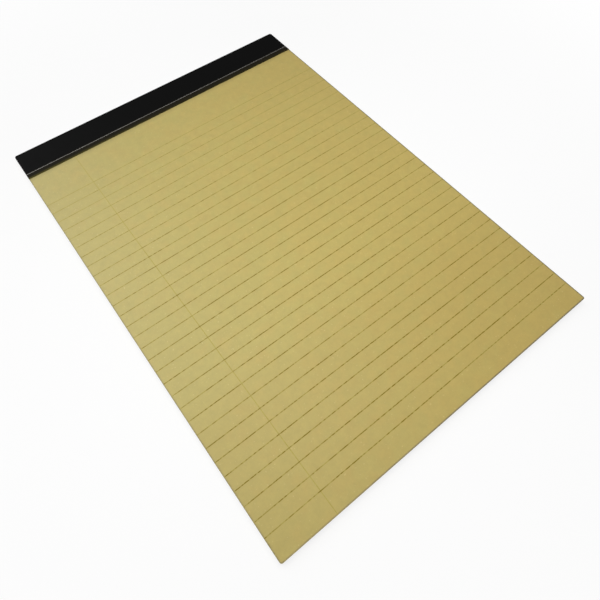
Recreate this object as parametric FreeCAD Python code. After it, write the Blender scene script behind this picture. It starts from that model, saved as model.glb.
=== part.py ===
import FreeCAD, Part
import math
import os

# A4 legal pad: ruled sheets on a grey backing board, stapled near the head and bound
# there with a black paper band that wraps from the front over the head edge to the
# back. It lies flat, ruled face up.
# Sizes are in millimetres. The origin is the middle of the underside: +X runs to the
# right across the page, +Y towards the bound head, +Z up out of the page.

# Plan of the whole pad
pad_width = 210.0
pad_length = 297.0
head_corner_radius = 2.2
foot_corner_radius = 1.2

# Sheets and backing board
sheet_count = 50
sheet_thickness = 0.08
board_thickness = 0.8

# Binding band, wrapped over the head edge
band_thickness = 0.15
band_bend_radius = 0.4
band_front_width = 25.0
band_back_width = 20.0

# Pale line printed across the band, measured up from the band's lower edge
band_line_rise = 4.6
band_line_width = 0.25

# Ruling printed on the sheets: the feint rules and one upright margin line
first_rule_from_head = 52.4
rule_pitch = 8.0
least_foot_space = 10.0
rule_width = 0.4
margin_from_left = 32.0
margin_line_width = 0.4
margin_line_tuck = 2.0

# Depth to which all printed ink is inlaid, flush with the face that carries it
ink_depth = 0.02

# Staples of flat wire under the band, sunk flush in the top sheets and the board's back
staple_count = 4
staple_from_head = 10.0
staple_inset_from_side = 27.0
staple_crown_length = 12.0
staple_clinch_length = 4.5
staple_wire_width = 0.7
staple_wire_thickness = 0.45
staple_bend_radius = 0.5
staple_clearance = 0.03

# Levels and edges worked out from the sizes above
sheets_top = board_thickness + sheet_count * sheet_thickness
pad_height = sheets_top + band_thickness
head_y = pad_length / 2
foot_y = -pad_length / 2
left_x = -pad_width / 2
right_x = pad_width / 2
band_front_edge_y = head_y - band_front_width
band_back_edge_y = head_y - band_back_width

# Directions, and the turn of a staple's bend
along_x = FreeCAD.Vector(1, 0, 0)
along_y = FreeCAD.Vector(0, 1, 0)
along_z = FreeCAD.Vector(0, 0, 1)
head_side = 1
foot_side = -1
quarter_turn = 90.0

output_folder = "parts"


def point(x, y, z):
    """A point of the pad's frame."""
    return FreeCAD.Vector(x, y, z)


def block(low, high):
    """Box between its lowest and its highest corner."""
    size = high.sub(low)
    return Part.makeBox(size.x, size.y, size.z, low)


def cross_strip(y_low, y_high, z_low, z_high):
    """Box right across the pad between two places along it and two heights."""
    return block(point(left_x, y_low, z_low), point(right_x, y_high, z_high))


def round_edges(solid, radius, direction, side):
    """Round the straight edges that run one way at the head or the foot of a box."""
    chosen = []
    for edge in solid.Edges:
        run = edge.Vertexes[-1].Point.sub(edge.Vertexes[0].Point).normalize()
        is_parallel = abs(run.dot(direction)) > run.cross(direction).Length
        if is_parallel and side * edge.CenterOfMass.y > 0:
            chosen.append(edge)
    return solid.makeFillet(radius, chosen)


def plan_column():
    """Column over the pad's plan outline, with its four corners cut round."""
    column = block(point(left_x, foot_y, 0), point(right_x, head_y, pad_height))
    column = round_edges(column, head_corner_radius, along_z, head_side)
    return round_edges(column, foot_corner_radius, along_z, foot_side)


def wrapped_form(inset):
    """Pad drawn in from its head, face and underside, its two head edges rounded."""
    low = point(left_x, foot_y, inset)
    high = point(right_x, head_y - inset, pad_height - inset)
    radius = band_bend_radius + band_thickness - inset
    return round_edges(block(low, high), radius, along_x, head_side)


def pad_form():
    """Outside of the whole pad, band included."""
    return wrapped_form(0).common(plan_column())


def header_band(form):
    """Paper band: front flap, wall over the head edge and back flap, one folded strip."""
    front = cross_strip(band_front_edge_y, head_y, board_thickness, pad_height)
    back = cross_strip(band_back_edge_y, head_y, 0, board_thickness)
    reach = front.fuse(back).removeSplitter()
    return form.common(reach).cut(wrapped_form(band_thickness))


def header_line(band):
    """Pale line printed right across the band's front flap."""
    middle = band_front_edge_y + band_line_rise
    half_width = band_line_width / 2
    strip = cross_strip(middle - half_width, middle + half_width, pad_height - ink_depth, pad_height)
    return band.common(strip)


def layer(form, band, z_low, z_high):
    """Layer of the bound stack between two heights, inside the band."""
    return form.common(cross_strip(foot_y, head_y, z_low, z_high)).cut(band)


def rule_places():
    """Places along the pad of the rules, as many as leave the foot its space."""
    first = head_y - first_rule_from_head
    room = first - foot_y - least_foot_space
    count = math.floor(room / rule_pitch) + 1
    return [first - number * rule_pitch for number in range(count)]


def page_ruling(sheets):
    """Rules and margin line, inlaid in the top sheet as one net of ink."""
    z_low = sheets_top - ink_depth
    half_rule = rule_width / 2
    lines = [cross_strip(y - half_rule, y + half_rule, z_low, sheets_top) for y in rule_places()]
    margin_x = left_x + margin_from_left
    half_margin = margin_line_width / 2
    margin_low = point(margin_x - half_margin, foot_y, z_low)
    margin_high = point(margin_x + half_margin, band_front_edge_y + margin_line_tuck, sheets_top)
    net = block(margin_low, margin_high).fuse(lines).removeSplitter()
    return sheets.common(net)


def staple_corners(middle_x):
    """Corners of one staple's centre line: clinch, leg, crown, leg and clinch."""
    y = head_y - staple_from_head
    crown_z = sheets_top - staple_wire_thickness / 2
    clinch_z = band_thickness + staple_wire_thickness / 2
    half_crown = staple_crown_length / 2
    half_gap = half_crown - staple_clinch_length
    return [
        point(middle_x - half_gap, y, clinch_z),
        point(middle_x - half_crown, y, clinch_z),
        point(middle_x - half_crown, y, crown_z),
        point(middle_x + half_crown, y, crown_z),
        point(middle_x + half_crown, y, clinch_z),
        point(middle_x + half_gap, y, clinch_z),
    ]


def flat_section(start, way, clearance):
    """Section of the flat wire, square to its way, with a clearance all round."""
    across = along_y * (staple_wire_width / 2 + clearance)
    through = way.cross(along_y) * (staple_wire_thickness / 2 + clearance)
    corners = [
        start.add(across).add(through),
        start.sub(across).add(through),
        start.sub(across).sub(through),
        start.add(across).sub(through),
    ]
    return Part.Face(Part.makePolygon(corners + corners[:1]))


def staple(middle_x, clearance):
    """One staple of flat wire, or with a clearance the channel that it lies in."""
    corners = staple_corners(middle_x)
    lengths = []
    start = corners[0]
    for before, corner, after in zip(corners, corners[1:], corners[2:]):
        way_in = corner.sub(before).normalize()
        way_out = after.sub(corner).normalize()
        bend_start = corner.sub(way_in * staple_bend_radius)
        bend_centre = bend_start.add(way_out * staple_bend_radius)
        run = flat_section(start, way_in, clearance).extrude(bend_start.sub(start))
        bend_section = flat_section(bend_start, way_in, clearance)
        bend = bend_section.revolve(bend_centre, way_in.cross(way_out), quarter_turn)
        lengths.extend([run, bend])
        start = corner.add(way_out * staple_bend_radius)
    last_run = flat_section(start, way_out, clearance).extrude(corners[-1].sub(start))
    return last_run.fuse(lengths).removeSplitter()


def staple_places():
    """Middles of the staples, evenly spaced between the two sides."""
    first = left_x + staple_inset_from_side
    last = right_x - staple_inset_from_side
    pitch = (last - first) / (staple_count - 1)
    return [first + number * pitch for number in range(staple_count)]


def staple_group(clearance):
    """All staples, or all their channels, as separate solids."""
    return Part.makeCompound([staple(x, clearance) for x in staple_places()])


def build_pad():
    """Every piece of the pad by its name."""
    form = pad_form()
    plain_band = header_band(form)
    line = header_line(plain_band)
    channels = staple_group(staple_clearance)
    board = layer(form, plain_band, 0, board_thickness).cut(channels)
    plain_sheets = layer(form, plain_band, board_thickness, sheets_top).cut(channels)
    ruling = page_ruling(plain_sheets)
    return {
        "ruled_sheets": plain_sheets.cut(ruling),
        "page_ruling": ruling,
        "backing_board": board,
        "header_band": plain_band.cut(line),
        "header_line": line,
        "staples": staple_group(0),
    }


def save(pieces):
    """Write each piece to a file of its own."""
    os.makedirs(output_folder, exist_ok=True)
    for name, shape in pieces.items():
        shape.exportStep(os.path.join(output_folder, name + ".step"))


save(build_pad())
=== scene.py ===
import math
import random

import bmesh
import bpy
from mathutils import Matrix, Vector


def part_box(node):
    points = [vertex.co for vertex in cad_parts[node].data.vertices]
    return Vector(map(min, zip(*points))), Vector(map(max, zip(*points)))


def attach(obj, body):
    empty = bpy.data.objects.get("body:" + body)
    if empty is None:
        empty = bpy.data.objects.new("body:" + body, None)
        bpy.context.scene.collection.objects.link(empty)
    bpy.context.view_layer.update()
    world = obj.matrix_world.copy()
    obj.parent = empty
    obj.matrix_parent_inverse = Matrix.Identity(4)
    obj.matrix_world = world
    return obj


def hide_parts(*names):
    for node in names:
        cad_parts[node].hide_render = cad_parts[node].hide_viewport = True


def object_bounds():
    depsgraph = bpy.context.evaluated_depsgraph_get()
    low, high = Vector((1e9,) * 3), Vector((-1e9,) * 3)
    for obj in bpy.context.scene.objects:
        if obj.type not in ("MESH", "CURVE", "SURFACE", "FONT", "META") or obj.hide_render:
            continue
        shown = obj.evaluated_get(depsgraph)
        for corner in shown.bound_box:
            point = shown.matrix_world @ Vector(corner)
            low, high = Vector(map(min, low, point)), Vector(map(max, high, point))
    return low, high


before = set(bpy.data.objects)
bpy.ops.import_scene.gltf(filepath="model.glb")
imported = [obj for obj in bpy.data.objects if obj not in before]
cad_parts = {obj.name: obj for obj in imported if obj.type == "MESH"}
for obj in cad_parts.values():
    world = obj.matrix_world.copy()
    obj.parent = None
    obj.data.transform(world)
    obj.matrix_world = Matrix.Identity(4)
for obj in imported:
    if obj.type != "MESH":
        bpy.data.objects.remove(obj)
cad_low, cad_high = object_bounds()

MM = 0.001
MICRON_DIGITS = 6

# Boxes of the CAD nodes, in metres
sheets_low, sheets_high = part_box("ruled_sheets")
ruling_low, ruling_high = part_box("page_ruling")
band_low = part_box("header_band")[0]
line_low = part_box("header_line")[0]

# Plan corners of the pad and the inner bend of the band over the head edge
HEAD_CORNER = 2.2 * MM
FOOT_CORNER = 1.2 * MM
BAND_BEND = 0.4 * MM
ARC_STEPS = 10

# The stack: the upper sheets are cut a little narrower, and no two lie quite flush
LEAF_COUNT = 50
LEAF_GAP = 0.005 * MM
FOOT_LEAN = 0.05 * MM
SIDE_LEAN = 0.03 * MM
LEAF_DRIFT = 0.05 * MM
LEAF_JITTER = 0.035 * MM
LEAF_SEED = 7

# How the drift of the edges swings up the stack, in radians over its height
SWING = 9
SWAY = 2
SWAY_SWING = 17

# The top sheet's edge is turned down a little
TOP_RIM_WIDTH = 0.25 * MM
TOP_RIM_DROP = 0.03 * MM

# The ink lies on the top sheet, inside the CAD's height. The margin line is the thinner
# film, so that it runs under the rules where they cross.
PRINT_ROOM = 0.007 * MM
PRINT_HEIGHT = 0.004 * MM
MARGIN_HEIGHT = 0.002 * MM
INK_SPREAD = 0.28 * MM
INK_STEP = 1.5 * MM
INK_WIDTH_CHANGE = 0.1
INK_SEED = 21

# How near the margin line's upper end a point of it counts as that end
END_REACH = 0.05 * MM

# Camera, measured from the middle of the ruled face; angles in degrees
CAMERA_PLACE = Vector((-89.39 * MM, -144.30 * MM, 226.73 * MM))
CAMERA_HEADING = 36.885
CAMERA_PITCH = -63.140
CAMERA_ROLL = 0.901
CAMERA_LENS = 27.459
CAMERA_SENSOR = 36.0

# Studio: each light's power, size, place and colour; it points at the pad
WORLD_LIGHT = 0.20
KEY_LIGHT = (5.5, 0.9, Vector((-0.40, 0.70, 0.95)), (0.97, 1.0, 0.99))
OVERHEAD_LIGHT = (0.98, 0.2, Vector((0.00, -0.04, 0.38)), (1.0, 0.99, 0.98))
FILL_LIGHT = (1.4, 0.8, Vector((-0.30, -0.70, 1.00)), (1.0, 0.98, 1.0))

# Floor: its glow is weaker by the pad, where its shadow falls, and full beyond a reach
FLOOR_SIZE = 6.0
FLOOR_DROP = 0.1 * MM
FLOOR_WHITE = 0.9
FLOOR_GLOW = 0.8
FLOOR_GLOW_REACH = 0.25

# Common to the finishes: where most of a noise lies, where only its crests are left, how
# level a face is to count as flat, and a grain's strength and depth
NOISE_SPREAD = (0.3, 0.7)
CRESTS = (0.70, 0.76)
LEVEL = (0.5, 0.8)
FINE_GRAIN = (0.2, 0.01 * MM)


def srgb(red, green, blue):
    """Linear colour of an sRGB colour given from 0 to 255."""
    def linear(value):
        share = value / 255
        return share / 12.92 if share <= 0.04045 else ((share + 0.055) / 1.055) ** 2.4
    return (linear(red), linear(green), linear(blue), 1.0)


class Graph:
    """The node tree of one material, with short ways to add to it."""

    def __init__(self, name):
        self.material = bpy.data.materials.new(name)
        self.material.use_nodes = True
        self.tree = self.material.node_tree
        self.tree.nodes.clear()
        self.output = self.tree.nodes.new("ShaderNodeOutputMaterial")
        self.place = self.tree.nodes.new("ShaderNodeTexCoord").outputs["Object"]

    def put(self, socket, value):
        """Link a socket to another, or set it to a constant."""
        if isinstance(value, bpy.types.NodeSocket):
            self.tree.links.new(value, socket)
        else:
            socket.default_value = value

    def maths(self, operation, first, second=0.0, third=0.0):
        """Result of one operation on up to three numbers."""
        node = self.tree.nodes.new("ShaderNodeMath")
        node.operation = operation
        for socket, value in zip(node.inputs, (first, second, third)):
            self.put(socket, value)
        return node.outputs[0]

    def parts(self, vector):
        """X, Y and Z of a vector."""
        node = self.tree.nodes.new("ShaderNodeSeparateXYZ")
        self.put(node.inputs[0], vector)
        return node.outputs

    def level(self):
        """1 on faces that lie flat, 0 on upright ones."""
        facing = self.tree.nodes.new("ShaderNodeNewGeometry").outputs["Normal"]
        return self.step(self.maths("ABSOLUTE", self.parts(facing)[2]), *LEVEL)

    def texture(self, vector, scale, detail, roughness=0.5):
        """Noise from 0 to 1 over a vector."""
        node = self.tree.nodes.new("ShaderNodeTexNoise")
        self.put(node.inputs["Vector"], vector)
        node.inputs["Scale"].default_value = scale
        node.inputs["Detail"].default_value = detail
        node.inputs["Roughness"].default_value = roughness
        return node.outputs["Fac"]

    def noise(self, size, detail, roughness=0.5):
        """Noise whose features are about size metres across."""
        return self.texture(self.place, 1.0 / size, detail, roughness)

    def streaks(self, sizes, detail, turn=0.0):
        """Noise stretched to a size along each axis, and turned about Z, in degrees."""
        node = self.tree.nodes.new("ShaderNodeMapping")
        self.put(node.inputs["Vector"], self.place)
        node.inputs["Rotation"].default_value = (0.0, 0.0, math.radians(turn))
        node.inputs["Scale"].default_value = [1.0 / size for size in sizes]
        return self.texture(node.outputs[0], 1.0, detail)

    def step(self, value, low, high):
        """0 below low, 1 above high, and smooth between."""
        node = self.tree.nodes.new("ShaderNodeMapRange")
        node.interpolation_type = "SMOOTHSTEP"
        self.put(node.inputs["Value"], value)
        node.inputs["From Min"].default_value = low
        node.inputs["From Max"].default_value = high
        return node.outputs[0]

    def remap(self, value, low, high, new_low, new_high):
        """Value from one range into another."""
        node = self.tree.nodes.new("ShaderNodeMapRange")
        self.put(node.inputs["Value"], value)
        node.inputs["From Min"].default_value = low
        node.inputs["From Max"].default_value = high
        node.inputs["To Min"].default_value = new_low
        node.inputs["To Max"].default_value = new_high
        return node.outputs[0]

    def blend(self, factor, first, second):
        """Mix of two colours."""
        node = self.tree.nodes.new("ShaderNodeMix")
        node.data_type = "RGBA"
        self.put(node.inputs["Factor"], factor)
        self.put(node.inputs["A"], first)
        self.put(node.inputs["B"], second)
        return node.outputs["Result"]

    def toned(self, colour, value):
        """Colour made lighter or darker by a factor."""
        node = self.tree.nodes.new("ShaderNodeHueSaturation")
        self.put(node.inputs["Color"], colour)
        self.put(node.inputs["Value"], value)
        return node.outputs[0]

    def bump(self, height, strength, distance, normal=None):
        """Normal of a surface that a height roughens."""
        node = self.tree.nodes.new("ShaderNodeBump")
        self.put(node.inputs["Height"], height)
        node.inputs["Strength"].default_value = strength
        node.inputs["Distance"].default_value = distance
        if normal is not None:
            self.put(node.inputs["Normal"], normal)
        return node.outputs[0]

    def finish(self, colour, roughness, normal, specular=0.5, metallic=0.0):
        """Close the tree with a principled shader."""
        shader = self.tree.nodes.new("ShaderNodeBsdfPrincipled")
        self.put(shader.inputs["Base Color"], colour)
        self.put(shader.inputs["Roughness"], roughness)
        self.put(shader.inputs["Normal"], normal)
        shader.inputs["Specular IOR Level"].default_value = specular
        shader.inputs["Metallic"].default_value = metallic
        self.tree.links.new(shader.outputs[0], self.output.inputs["Surface"])
        return self.material


def wobble(graph, noises, shares):
    """About 1, moved up and down by each noise to the share given for it."""
    total = 1.0
    for noise, share in zip(noises, shares):
        total = graph.maths("MULTIPLY_ADD", noise, share, total)
    return graph.maths("SUBTRACT", total, sum(shares) / 2)


def beyond(graph, value, limit):
    """How far a value is past a limit, and 0 before it."""
    return graph.maths("MAXIMUM", graph.maths("SUBTRACT", value, limit), 0.0)


def rule_places():
    """Middles of the printed rules along the page, read from the CAD ruling."""
    side = ruling_low.x + FOOT_CORNER
    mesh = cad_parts["page_ruling"].data
    edges = sorted({round(v.co.y, MICRON_DIGITS) for v in mesh.vertices if v.co.x < side})
    return [(low + high) / 2 for low, high in zip(edges[::2], edges[1::2])]


def margin_place():
    """Middle of the upright margin line across the page, read from the CAD ruling."""
    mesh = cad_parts["page_ruling"].data
    end = [v.co.x for v in mesh.vertices if v.co.y > ruling_high.y - END_REACH]
    return (min(end) + max(end)) / 2


def band_front_edge():
    """Place along the page of the band's lower edge, just below its printed line."""
    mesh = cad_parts["header_band"].data
    return min(v.co.y for v in mesh.vertices if v.co.z > line_low.z)


def off_rules(graph, y, rules):
    """Distance to the nearest printed rule, large beyond the first and the last one."""
    pitch = rules[1] - rules[0]
    off_rule = graph.maths("PINGPONG", graph.maths("SUBTRACT", y, rules[0]), pitch / 2)
    below_last = graph.maths("LESS_THAN", y, rules[0] - pitch / 2)
    above_first = graph.maths("GREATER_THAN", y, rules[-1] + pitch / 2)
    outside = graph.maths("MAXIMUM", below_last, above_first)
    return graph.maths("MULTIPLY_ADD", outside, pitch, off_rule)


def inside_rim(graph, x, y):
    """Distance in from the sides and the foot edge of the page, round its corners."""
    past_x = beyond(graph, graph.maths("ABSOLUTE", x), sheets_high.x - FOOT_CORNER)
    past_y = graph.maths("SUBTRACT", sheets_low.y + FOOT_CORNER, y)
    past_y = graph.maths("MAXIMUM", past_y, 0.0)
    square_x = graph.maths("MULTIPLY", past_x, past_x)
    reach = graph.maths("SQRT", graph.maths("MULTIPLY_ADD", past_y, past_y, square_x))
    return graph.maths("SUBTRACT", FOOT_CORNER, reach)


# Paper: its colours
PAPER_COLOUR = srgb(183, 168, 95)
PAPER_WARM_COLOUR = srgb(187, 166, 93)
PAPER_EDGE_COLOUR = srgb(196, 178, 112)
PAPER_SPECK_COLOUR = srgb(214, 200, 142)
# Colour the page turns to towards its foot
FOOT_DARK_COLOUR = srgb(172, 134, 65)
# Colour of the painted shade along the rim
RIM_SHADE_COLOUR = srgb(118, 108, 78)

# Paper: the noises of its face, and how far each lightens and darkens it
PAPER_DRIFT = {"size": 70 * MM, "detail": 1.0}
PAPER_CLOUDS = {"size": 5 * MM, "detail": 3.0, "roughness": 0.6}
PAPER_FORMATION = {"size": 1.1 * MM, "detail": 3.0, "roughness": 0.65}
PAPER_LONG_FIBRES = {"sizes": (0.35 * MM, 3 * MM, 1 * MM), "detail": 3.0, "turn": 12.0}
PAPER_CROSS_FIBRES = {"sizes": (2.4 * MM, 0.3 * MM, 1 * MM), "detail": 3.0, "turn": -25.0}
PAPER_SHARES = (0.05, 0.22, 0.14, 0.08, 0.07)
PAPER_SPECKS = {"size": 0.9 * MM, "detail": 1.0}
SPECK_SHARE = 0.5

# Paper: its warmer cast, in patches, and more of them towards the right as a painted warm
# light
CAST = {"size": 8 * MM, "detail": 2.0}
CAST_STEP = (0.2, 0.8)
WARM_LIGHT_DRIFT = 0.25

# Paper: darker and warmer towards its foot, a painted shade along its side and foot rims,
# weaker on the left, and the shade beside the band
FOOT_DARK_FADE = (-88 * MM, -58 * MM)
FOOT_DARK_SHARE = 0.12
RIM_WIDTH = 0.45 * MM
RIM_SHADE_STRENGTH = 0.9
LEFT_RIM_SHADE_SHARE = 0.5
BAND_SHADE = 0.80
BAND_SHADE_REACH = 3.5 * MM

# Paper: the noises of the stack's cut edges
EDGE_LEAVES = {"sizes": (45 * MM, 45 * MM, 0.11 * MM), "detail": 4.0}
EDGE_BUNDLES = {"sizes": (80 * MM, 80 * MM, 0.6 * MM), "detail": 2.0}
EDGE_KNIFE = {"sizes": (0.5 * MM, 0.5 * MM, 8 * MM), "detail": 2.0}
EDGE_SHARES = (0.42, 0.22, 0.12)
EDGE_SHADE = 0.93

# Paper: the ends of the rules, which show on the cut edges of some leaves
TICK_INK = 0.4
TICK_FADE = (0.1 * MM, 0.2 * MM)
TICK_SHIFT = 0.5 * MM
TICK_BY_LEAF = {"sizes": (90 * MM, 90 * MM, 0.1 * MM), "detail": 1.0}
TICK_LEAVES = (0.35, 0.6)

# Paper: its gloss and its relief, each bump with its strength and depth
PAPER_ROUGHNESS = (0.46, 0.54)
PAPER_SPECULAR = 1.0
PAPER_TOOTH = {"size": 0.22 * MM, "detail": 3.0}
PAPER_COCKLE = (1.0, 0.25 * MM)
PAPER_GRAIN = (0.35, 0.03 * MM)

# Ink: its colour and its noises
INK_COLOUR = srgb(122, 103, 8)
INK_DOTS = {"size": 0.18 * MM, "detail": 2.0}
INK_BEADS = {"sizes": (1.7 * MM, 1.2 * MM, 1 * MM), "detail": 2.0}
INK_PATCHES = {"sizes": (18 * MM, 7 * MM, 7 * MM), "detail": 1.0}
DOT_SHARE = 0.3
BEAD_SHARE = 0.7
BEAD_STEP = (0.40, 0.60)
PATCH_STEP = (0.35, 0.65)

# Ink: how much of it covers the paper, in and between beads and patches
BEAD_INK = (0.30, 1.50)
PATCH_INK = (0.70, 1.35)

# Ink: its full cover is a share of the line's half width, and thins to this at its edge
INK_CORE = 0.25
INK_EDGE = 0.25

# Ink: its cover towards the head, the foot and the sides, and along the margin line
HEAD_INK = 0.32
HEAD_INK_FADE = (-20 * MM, 80 * MM)
FOOT_INK = 0.85
SIDE_INK = 0.72
SIDE_INK_FADE = (60 * MM, 100 * MM)
MARGIN_INK = 0.21
INK_ROUGHNESS = (0.46, 0.56)
INK_SPECULAR = 0.3

# Band: its colours above and below the pale line and along its lower edge, which is paler and
# yellowish and paler still towards the left as a painted sheen, with the heights above that
# edge over which they change
BAND_COLOUR = srgb(12, 12, 12)
BAND_LOW_COLOUR = srgb(31, 28, 19)
BAND_EDGE_COLOUR = srgb(82, 77, 36)
BAND_LOW_FADE = (4.5 * MM, 6.0 * MM)
BAND_EDGE_FADE = (-0.2 * MM, 2.1 * MM)
BAND_EDGE_SHEEN_DRIFT = 0.80

# Band: its noises, gloss and relief
BAND_MOTTLE = {"size": 9 * MM, "detail": 3.0, "roughness": 0.6}
BAND_TOOTH = {"size": 0.35 * MM, "detail": 3.0}
BAND_WEAVE = {"sizes": (0.5 * MM, 1.6 * MM, 1.6 * MM), "detail": 2.0}
BAND_SHARES = (0.25, 0.2)
BAND_ROUGHNESS = (0.44, 0.54)
BAND_SPECULAR = 0.05
BAND_GRAIN = (0.3, 0.02 * MM)

# Pale line: it is a little fainter towards the right
PALE_INK_COLOUR = srgb(160, 158, 154)
PALE_INK_DOTS = {"size": 0.25 * MM, "detail": 2.0}
PALE_INK_PATCHES = {"sizes": (4 * MM, 1 * MM, 1 * MM), "detail": 2.0}
PALE_INK_SHARES = (0.3, 0.3)
PALE_INK_FADE = (-50 * MM, 15 * MM)
PALE_INK_TAKE = (1.06, 0.84)
PALE_INK_ROUGHNESS = 0.6

# Board: its colours and noises, flat and on the cut edge, with their shares
BOARD_COLOUR = srgb(139, 132, 120)
BOARD_DARK_COLOUR = srgb(92, 84, 74)
BOARD_LIGHT_COLOUR = srgb(182, 176, 164)
BOARD_PULP = {"size": 14 * MM, "detail": 4.0, "roughness": 0.6}
BOARD_FELT = {"size": 0.9 * MM, "detail": 4.0, "roughness": 0.7}
BOARD_HAIRS = {"sizes": (0.25 * MM, 2.2 * MM, 0.4 * MM), "detail": 3.0, "turn": 30.0}
BOARD_CROSS_HAIRS = {"sizes": (1.9 * MM, 0.25 * MM, 0.4 * MM), "detail": 3.0, "turn": 10.0}
BOARD_LAYERS = {"sizes": (12 * MM, 12 * MM, 0.12 * MM), "detail": 3.0}
BOARD_FLAT_SHARES = (0.12, 0.22, 0.2, 0.18)
BOARD_EDGE_SHARES = (0.5, 0.3)
BOARD_DARK_FLECKS = {"sizes": (0.3 * MM, 1.1 * MM, 0.5 * MM), "detail": 2.0, "turn": -35.0}
BOARD_LIGHT_FLECKS = {"sizes": (0.9 * MM, 0.3 * MM, 0.5 * MM), "detail": 2.0, "turn": 20.0}
DARK_FLECK_SHARE = 0.7
LIGHT_FLECK_SHARE = 0.6
BOARD_ROUGHNESS = (0.75, 0.9)
BOARD_SPECULAR = 0.25
BOARD_GRAIN = (0.5, 0.06 * MM)

# Staple wire
STEEL_COLOUR = srgb(178, 180, 182)
WIRE_DRAW_MARKS = {"sizes": (1.5 * MM, 0.05 * MM, 0.05 * MM), "detail": 2.0}
WIRE_BLOOM = {"size": 0.8 * MM, "detail": 3.0}
WIRE_SHARES = (0.15, 0.12)
WIRE_ROUGHNESS = (0.28, 0.45)


def page_colour(graph, tone):
    """Colour of a sheet's face: cast with a painted warm light to the right, specks, darker
    foot, painted rim shade and shade of the band.
    """
    x, y, z = graph.parts(graph.place)
    # Painted warm light: the warm patches grow towards the right side
    across = graph.remap(x, sheets_low.x, sheets_high.x, -WARM_LIGHT_DRIFT, WARM_LIGHT_DRIFT)
    cast = graph.step(graph.maths("ADD", graph.noise(**CAST), across), *CAST_STEP)
    colour = graph.toned(graph.blend(cast, PAPER_COLOUR, PAPER_WARM_COLOUR), tone)
    specks = graph.step(graph.noise(**PAPER_SPECKS), *CRESTS)
    specks = graph.maths("MULTIPLY", specks, SPECK_SHARE)
    colour = graph.blend(specks, colour, PAPER_SPECK_COLOUR)
    # The page turns darker and warmer towards the foot
    foot_darkening = graph.remap(y, *FOOT_DARK_FADE, FOOT_DARK_SHARE, 0.0)
    colour = graph.blend(foot_darkening, colour, FOOT_DARK_COLOUR)
    # Painted shade along the side and foot rims, weaker towards the left, where the light
    # comes from
    rim = graph.remap(inside_rim(graph, x, y), RIM_WIDTH, 2 * RIM_WIDTH, RIM_SHADE_STRENGTH, 0.0)
    rim_shade_side = graph.remap(x, sheets_low.x, 0.0, LEFT_RIM_SHADE_SHARE, 1.0)
    colour = graph.blend(graph.maths("MULTIPLY", rim, rim_shade_side), colour, RIM_SHADE_COLOUR)
    below_band = graph.maths("SUBTRACT", band_front_edge(), y)
    shade = graph.remap(below_band, 0.0, BAND_SHADE_REACH, BAND_SHADE, 1.0)
    return graph.toned(colour, shade)


def stack_edge_colour(graph, rules):
    """Colour of the stack's cut edges: leaves, bundles, knife marks and ends of rules."""
    y = graph.parts(graph.place)[1]
    leaves = graph.streaks(**EDGE_LEAVES)
    bundles = graph.streaks(**EDGE_BUNDLES)
    knife = graph.streaks(**EDGE_KNIFE)
    tone = wobble(graph, (leaves, bundles, knife), EDGE_SHARES)
    colour = graph.toned(PAPER_EDGE_COLOUR, graph.maths("MULTIPLY", tone, EDGE_SHADE))
    shifted = graph.maths("MULTIPLY_ADD", graph.streaks(**TICK_BY_LEAF), TICK_SHIFT, y)
    off_rule = off_rules(graph, graph.maths("SUBTRACT", shifted, TICK_SHIFT / 2), rules)
    tick = graph.remap(off_rule, *TICK_FADE, TICK_INK, 0.0)
    tick = graph.maths("MULTIPLY", tick, graph.step(leaves, *TICK_LEAVES))
    return graph.blend(tick, colour, INK_COLOUR)


def paper_material(rules):
    """Uncoated yellow paper: cloudy formation, fine fibres, painted shade along the rim,
    stacked edges.
    """
    graph = Graph("finish_yellow_paper")
    drift = graph.noise(**PAPER_DRIFT)
    clouds = graph.noise(**PAPER_CLOUDS)
    formation = graph.noise(**PAPER_FORMATION)
    long_fibres = graph.streaks(**PAPER_LONG_FIBRES)
    cross_fibres = graph.streaks(**PAPER_CROSS_FIBRES)
    noises = (drift, clouds, formation, long_fibres, cross_fibres)
    face = page_colour(graph, wobble(graph, noises, PAPER_SHARES))
    colour = graph.blend(graph.level(), stack_edge_colour(graph, rules), face)
    roughness = graph.remap(formation, *NOISE_SPREAD, *PAPER_ROUGHNESS)
    cockle = graph.bump(drift, *PAPER_COCKLE)
    relief = graph.maths("ADD", graph.noise(**PAPER_TOOTH), long_fibres)
    grain = graph.bump(relief, *PAPER_GRAIN, normal=cockle)
    return graph.finish(colour, roughness, grain, PAPER_SPECULAR)


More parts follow.
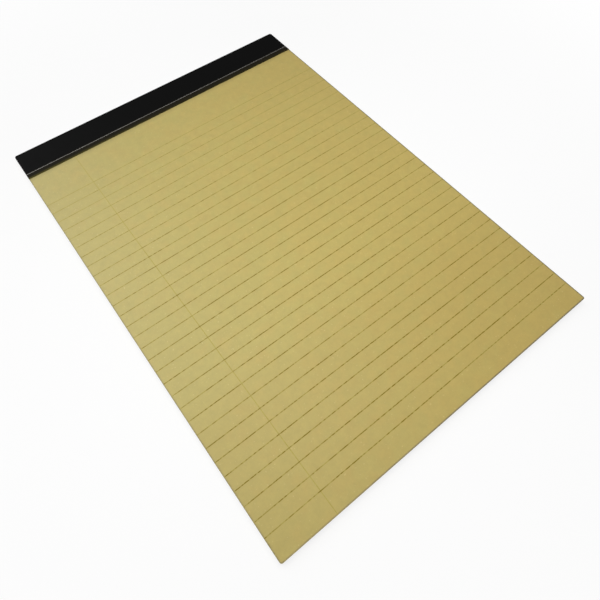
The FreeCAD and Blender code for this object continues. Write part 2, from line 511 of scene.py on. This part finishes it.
def ink_material(rules):
    """Olive ink: feathered, beaded and patchy, fainter at head, foot, sides and margin."""
    graph = Graph("finish_olive_ink")
    x, y, z = graph.parts(graph.place)
    off_margin = graph.maths("ABSOLUTE", graph.maths("SUBTRACT", x, margin_place()))
    off_rule = off_rules(graph, y, rules)
    off_line = graph.maths("MINIMUM", off_margin, off_rule)
    feather = graph.remap(off_line, INK_CORE * INK_SPREAD, INK_SPREAD, 1.0, INK_EDGE)
    dots = graph.noise(**INK_DOTS)
    beads = graph.maths("MULTIPLY", graph.streaks(**INK_BEADS), BEAD_SHARE)
    uneven = graph.maths("MULTIPLY_ADD", dots, DOT_SHARE, beads)
    bead_take = graph.remap(graph.step(uneven, *BEAD_STEP), 0.0, 1.0, *BEAD_INK)
    patch_take = graph.remap(graph.streaks(**INK_PATCHES), *PATCH_STEP, *PATCH_INK)
    is_rule = graph.maths("LESS_THAN", off_rule, INK_SPREAD)
    shares = (
        bead_take,
        patch_take,
        graph.remap(y, *HEAD_INK_FADE, 1.0, HEAD_INK),
        graph.remap(y, ruling_low.y, ruling_low.y / 2, FOOT_INK, 1.0),
        graph.remap(graph.maths("ABSOLUTE", x), *SIDE_INK_FADE, 1.0, SIDE_INK),
        graph.remap(is_rule, 0.0, 1.0, MARGIN_INK, 1.0),
    )
    cover = feather
    for share in shares:
        cover = graph.maths("MULTIPLY", cover, share)
    colour = graph.blend(cover, PAPER_COLOUR, INK_COLOUR)
    roughness = graph.remap(dots, *NOISE_SPREAD, *INK_ROUGHNESS)
    return graph.finish(colour, roughness, graph.bump(dots, *FINE_GRAIN), INK_SPECULAR)


def band_material():
    """Black printed band paper: satin, faintly mottled, paler and yellowish along its lower
    edge, with a painted sheen that makes that edge paler to the left.
    """
    graph = Graph("finish_black_paper")
    x, y, z = graph.parts(graph.place)
    mottle = graph.noise(**BAND_MOTTLE)
    tooth = graph.noise(**BAND_TOOTH)
    weave = graph.streaks(**BAND_WEAVE)
    above_edge = graph.maths("SUBTRACT", y, band_front_edge())
    above_low = graph.step(above_edge, *BAND_LOW_FADE)
    above_rub = graph.step(above_edge, *BAND_EDGE_FADE)
    # Painted sheen: the pale lower edge is lighter towards the left
    to_right = graph.remap(x, band_low.x, 0.0, 0.0, BAND_EDGE_SHEEN_DRIFT)
    pale_edge_and_sheen = graph.blend(to_right, BAND_EDGE_COLOUR, BAND_LOW_COLOUR)
    colour = graph.blend(above_low, BAND_LOW_COLOUR, BAND_COLOUR)
    colour = graph.blend(above_rub, pale_edge_and_sheen, colour)
    colour = graph.toned(colour, wobble(graph, (mottle, tooth), BAND_SHARES))
    roughness = graph.remap(mottle, *NOISE_SPREAD, *BAND_ROUGHNESS)
    grain = graph.bump(graph.maths("ADD", tooth, weave), *BAND_GRAIN)
    return graph.finish(colour, roughness, grain, BAND_SPECULAR)


def pale_ink_material():
    """White line printed on the band, a little uneven."""
    graph = Graph("finish_pale_ink")
    x = graph.parts(graph.place)[0]
    dots = graph.noise(**PALE_INK_DOTS)
    patches = graph.streaks(**PALE_INK_PATCHES)
    cover = wobble(graph, (dots, patches), PALE_INK_SHARES)
    take = graph.remap(x, *PALE_INK_FADE, *PALE_INK_TAKE)
    colour = graph.toned(PALE_INK_COLOUR, graph.maths("MULTIPLY", cover, take))
    grain = graph.bump(dots, *FINE_GRAIN)
    return graph.finish(colour, PALE_INK_ROUGHNESS, grain, INK_SPECULAR)


def board_material():
    """Grey recycled board: mixed pulp with dark and light flecks and pressed layers."""
    graph = Graph("finish_grey_board")
    pulp = graph.noise(**BOARD_PULP)
    felt = graph.noise(**BOARD_FELT)
    hairs = graph.streaks(**BOARD_HAIRS)
    cross_hairs = graph.streaks(**BOARD_CROSS_HAIRS)
    layers = graph.streaks(**BOARD_LAYERS)
    flat_tone = wobble(graph, (pulp, felt, hairs, cross_hairs), BOARD_FLAT_SHARES)
    edge_tone = wobble(graph, (layers, felt), BOARD_EDGE_SHARES)
    tone = graph.blend(graph.level(), edge_tone, flat_tone)
    colour = graph.toned(BOARD_COLOUR, tone)
    dark = graph.step(graph.streaks(**BOARD_DARK_FLECKS), *CRESTS)
    dark = graph.maths("MULTIPLY", dark, DARK_FLECK_SHARE)
    light = graph.step(graph.streaks(**BOARD_LIGHT_FLECKS), *CRESTS)
    light = graph.maths("MULTIPLY", light, LIGHT_FLECK_SHARE)
    colour = graph.blend(dark, colour, BOARD_DARK_COLOUR)
    colour = graph.blend(light, colour, BOARD_LIGHT_COLOUR)
    roughness = graph.remap(felt, *NOISE_SPREAD, *BOARD_ROUGHNESS)
    grain = graph.bump(graph.maths("ADD", felt, hairs), *BOARD_GRAIN)
    return graph.finish(colour, roughness, grain, BOARD_SPECULAR)


def steel_material():
    """Drawn, galvanised staple wire."""
    graph = Graph("finish_steel_wire")
    draw_marks = graph.streaks(**WIRE_DRAW_MARKS)
    bloom = graph.noise(**WIRE_BLOOM)
    colour = graph.toned(STEEL_COLOUR, wobble(graph, (draw_marks, bloom), WIRE_SHARES))
    roughness = graph.remap(bloom, *NOISE_SPREAD, *WIRE_ROUGHNESS)
    grain = graph.bump(draw_marks, *FINE_GRAIN)
    return graph.finish(colour, roughness, grain, metallic=1.0)


def plan_outline(left, right, foot, head_limit):
    """Outline of a sheet as points in order, its corners cut round with the whole pad."""
    corners = [
        (right - FOOT_CORNER, foot + FOOT_CORNER, FOOT_CORNER, -90),
        (right - HEAD_CORNER, cad_high.y - HEAD_CORNER, HEAD_CORNER, 0),
        (left + HEAD_CORNER, cad_high.y - HEAD_CORNER, HEAD_CORNER, 90),
        (left + FOOT_CORNER, foot + FOOT_CORNER, FOOT_CORNER, 180),
    ]
    points = []
    for centre_x, centre_y, radius, start in corners:
        for number in range(ARC_STEPS + 1):
            angle = math.radians(start + 90 * number / ARC_STEPS)
            y = centre_y + radius * math.sin(angle)
            points.append((centre_x + radius * math.cos(angle), min(y, head_limit)))
    return points


def join_rings(mesh, rings):
    """Faces between neighbouring rings of points, and one over each end."""
    mesh.faces.new(rings[0])
    mesh.faces.new(rings[-1])
    for ring, following in zip(rings, rings[1:]):
        for number in range(len(ring)):
            after = (number + 1) % len(ring)
            mesh.faces.new((ring[number], ring[after], following[after], following[number]))


def add_slab(mesh, loops):
    """Closed slab through loops of points, each with its height, from the bottom up."""
    join_rings(mesh, [[mesh.verts.new((x, y, z)) for x, y in loop] for loop, z in loops])


def add_object(name, mesh, material):
    """Turn a finished bmesh into a piece that rides on the pad."""
    bmesh.ops.recalc_face_normals(mesh, faces=mesh.faces)
    data = bpy.data.meshes.new(name)
    mesh.to_mesh(data)
    mesh.free()
    data.materials.append(material)
    piece = bpy.data.objects.new(name, data)
    bpy.context.scene.collection.objects.link(piece)
    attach(piece, "root")
    return piece


def bend_inset(depth):
    """How far the stack's head edge draws in at a depth below its top."""
    if depth >= BAND_BEND:
        return 0.0
    return BAND_BEND - math.sqrt(BAND_BEND ** 2 - (BAND_BEND - depth) ** 2)


def leaf_edges():
    """Left, right and foot edge of each leaf from the board up, none quite like the next."""
    draw = random.Random(LEAF_SEED)
    phases = [draw.uniform(0, 2 * math.pi) for side in range(3)]
    edges = []
    for number in range(LEAF_COUNT):
        rise = number / (LEAF_COUNT - 1)
        leans = (SIDE_LEAN * rise, SIDE_LEAN * rise, FOOT_LEAN * rise)
        insets = []
        for lean, phase in zip(leans, phases):
            angle = phase + SWING * rise + SWAY * math.sin(SWAY_SWING * rise)
            drift = LEAF_DRIFT * (0.5 + 0.5 * math.sin(angle))
            insets.append(lean + drift + draw.uniform(0, LEAF_JITTER))
        left, right, foot = insets
        edges.append((sheets_low.x + left, sheets_high.x - right, sheets_low.y + foot))
    return edges


def sheet_stack(edges, material):
    """The ruled sheets, each a thin leaf of its own."""
    mesh = bmesh.new()
    pitch = (sheets_high.z - sheets_low.z) / LEAF_COUNT
    for number, (left, right, foot) in enumerate(edges):
        low = sheets_low.z + number * pitch
        high = low + pitch - LEAF_GAP
        is_top = number == LEAF_COUNT - 1
        if is_top:
            high = sheets_high.z - PRINT_ROOM
        head_limit = sheets_high.y - bend_inset(sheets_high.z - high)
        outline = plan_outline(left, right, foot, head_limit)
        loops = [(outline, low), (outline, high)]
        if is_top:
            face_edges = (left + TOP_RIM_WIDTH, right - TOP_RIM_WIDTH, foot + TOP_RIM_WIDTH)
            face = plan_outline(*face_edges, head_limit)
            loops = [(outline, low), (outline, high - TOP_RIM_DROP), (face, high)]
        add_slab(mesh, loops)
    piece = add_object("sheet_leaves", mesh, material)
    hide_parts("ruled_sheets")


def add_ribbon(mesh, start, end, low, high, draw):
    """Thin closed strip of ink from start to end, its width wandering along it."""
    run = Vector(end) - Vector(start)
    across = Vector((-run.y, run.x)).normalized() * INK_SPREAD
    count = max(2, round(run.length / INK_STEP))
    rings = []
    for number in range(count + 1):
        middle = Vector(start) + run * (number / count)
        left = middle + across * (1 + draw.uniform(-1, 1) * INK_WIDTH_CHANGE)
        right = middle - across * (1 + draw.uniform(-1, 1) * INK_WIDTH_CHANGE)
        corners = [(left, low), (right, low), (right, high), (left, high)]
        rings.append([mesh.verts.new((point.x, point.y, z)) for point, z in corners])
    join_rings(mesh, rings)


def printed_ruling(rules, page_edges, material):
    """Rules and margin line as thin films of ink on the top sheet."""
    draw = random.Random(INK_SEED)
    mesh = bmesh.new()
    left, right, foot = page_edges
    low = sheets_high.z - PRINT_ROOM
    for y in rules:
        start = (left + TOP_RIM_WIDTH, y)
        end = (right - TOP_RIM_WIDTH, y)
        add_ribbon(mesh, start, end, low, low + PRINT_HEIGHT, draw)
    start = (margin_place(), foot + TOP_RIM_WIDTH)
    end = (margin_place(), ruling_high.y)
    add_ribbon(mesh, start, end, low, low + MARGIN_HEIGHT, draw)
    piece = add_object("printed_ruling", mesh, material)
    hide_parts("page_ruling")


def dress(node, material):
    """Give a CAD node its finish."""
    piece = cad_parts[node]
    piece.data.materials.clear()
    piece.data.materials.append(material)


def floor_material():
    """Pale floor that keeps the pad's shadow and goes on to white away from the pad."""
    graph = Graph("pale_floor")
    tree = graph.tree
    rays = tree.nodes.new("ShaderNodeLightPath").outputs
    seen = graph.maths("MAXIMUM", rays["Is Camera Ray"], rays["Is Glossy Ray"])
    x, y, z = graph.parts(graph.place)
    past_x = beyond(graph, graph.maths("ABSOLUTE", x), cad_high.x)
    past_y = beyond(graph, graph.maths("ABSOLUTE", y), cad_high.y)
    away = graph.maths("ADD", past_x, past_y)
    glow_share = graph.remap(away, 0.0, FLOOR_GLOW_REACH, FLOOR_GLOW, 1.0)
    diffuse = tree.nodes.new("ShaderNodeBsdfDiffuse")
    diffuse.inputs["Color"].default_value = (FLOOR_WHITE, FLOOR_WHITE, FLOOR_WHITE, 1)
    glow = tree.nodes.new("ShaderNodeEmission")
    glow.inputs["Strength"].default_value = 1.0
    mix = tree.nodes.new("ShaderNodeMixShader")
    graph.put(mix.inputs[0], graph.maths("MULTIPLY", seen, glow_share))
    graph.put(mix.inputs[1], diffuse.outputs[0])
    graph.put(mix.inputs[2], glow.outputs[0])
    graph.put(graph.output.inputs["Surface"], mix.outputs[0])
    return graph.material


def make_floor():
    """Level floor just under the pad."""
    mesh = bmesh.new()
    bmesh.ops.create_grid(mesh, size=FLOOR_SIZE / 2)
    data = bpy.data.meshes.new("floor")
    mesh.to_mesh(data)
    mesh.free()
    data.materials.append(floor_material())
    floor = bpy.data.objects.new("floor", data)
    floor.location.z = cad_low.z - FLOOR_DROP
    bpy.context.scene.collection.objects.link(floor)


def make_world():
    """Even white surroundings, which show as plain white."""
    world = bpy.data.worlds.new("studio")
    world.use_nodes = True
    bpy.context.scene.world = world
    tree = world.node_tree
    background = tree.nodes["Background"]
    rays = tree.nodes.new("ShaderNodeLightPath").outputs
    strength = tree.nodes.new("ShaderNodeMapRange")
    strength.inputs["To Min"].default_value = WORLD_LIGHT
    strength.inputs["To Max"].default_value = 1.0
    tree.links.new(rays["Is Camera Ray"], strength.inputs["Value"])
    tree.links.new(strength.outputs[0], background.inputs["Strength"])
    background.inputs["Color"].default_value = (1, 1, 1, 1)


def make_light(name, setting, shines_on_gloss):
    """Large soft light that points at the pad."""
    power, size, place, colour = setting
    lamp = bpy.data.lights.new(name, "AREA")
    lamp.energy = power
    lamp.size = size
    lamp.color = colour
    light = bpy.data.objects.new(name, lamp)
    light.location = place
    light.rotation_euler = (-place).to_track_quat("-Z", "Y").to_euler()
    light.visible_glossy = shines_on_gloss
    bpy.context.scene.collection.objects.link(light)


def make_camera():
    """Camera over the foot of the pad, looking along it to the right."""
    lens = bpy.data.cameras.new("camera")
    lens.lens = CAMERA_LENS
    lens.sensor_width = CAMERA_SENSOR
    camera = bpy.data.objects.new("camera", lens)
    heading = Matrix.Rotation(math.radians(-CAMERA_HEADING), 4, "Z")
    pitch = Matrix.Rotation(math.radians(90 + CAMERA_PITCH), 4, "X")
    roll = Matrix.Rotation(math.radians(-CAMERA_ROLL), 4, "Z")
    place = Matrix.Translation(CAMERA_PLACE + Vector((0, 0, sheets_high.z)))
    camera.matrix_world = place @ heading @ pitch @ roll
    bpy.context.scene.collection.objects.link(camera)
    bpy.context.scene.camera = camera


make_camera()
make_world()
make_light("key", KEY_LIGHT, True)
make_light("overhead", OVERHEAD_LIGHT, False)
make_light("fill", FILL_LIGHT, False)
make_floor()

rules = rule_places()
edges = leaf_edges()
sheet_stack(edges, paper_material(rules))
printed_ruling(rules, edges[-1], ink_material(rules))
dress("backing_board", board_material())
dress("header_band", band_material())
dress("header_line", pale_ink_material())
dress("staples", steel_material())

bpy.context.scene.view_settings.view_transform = "Standard"
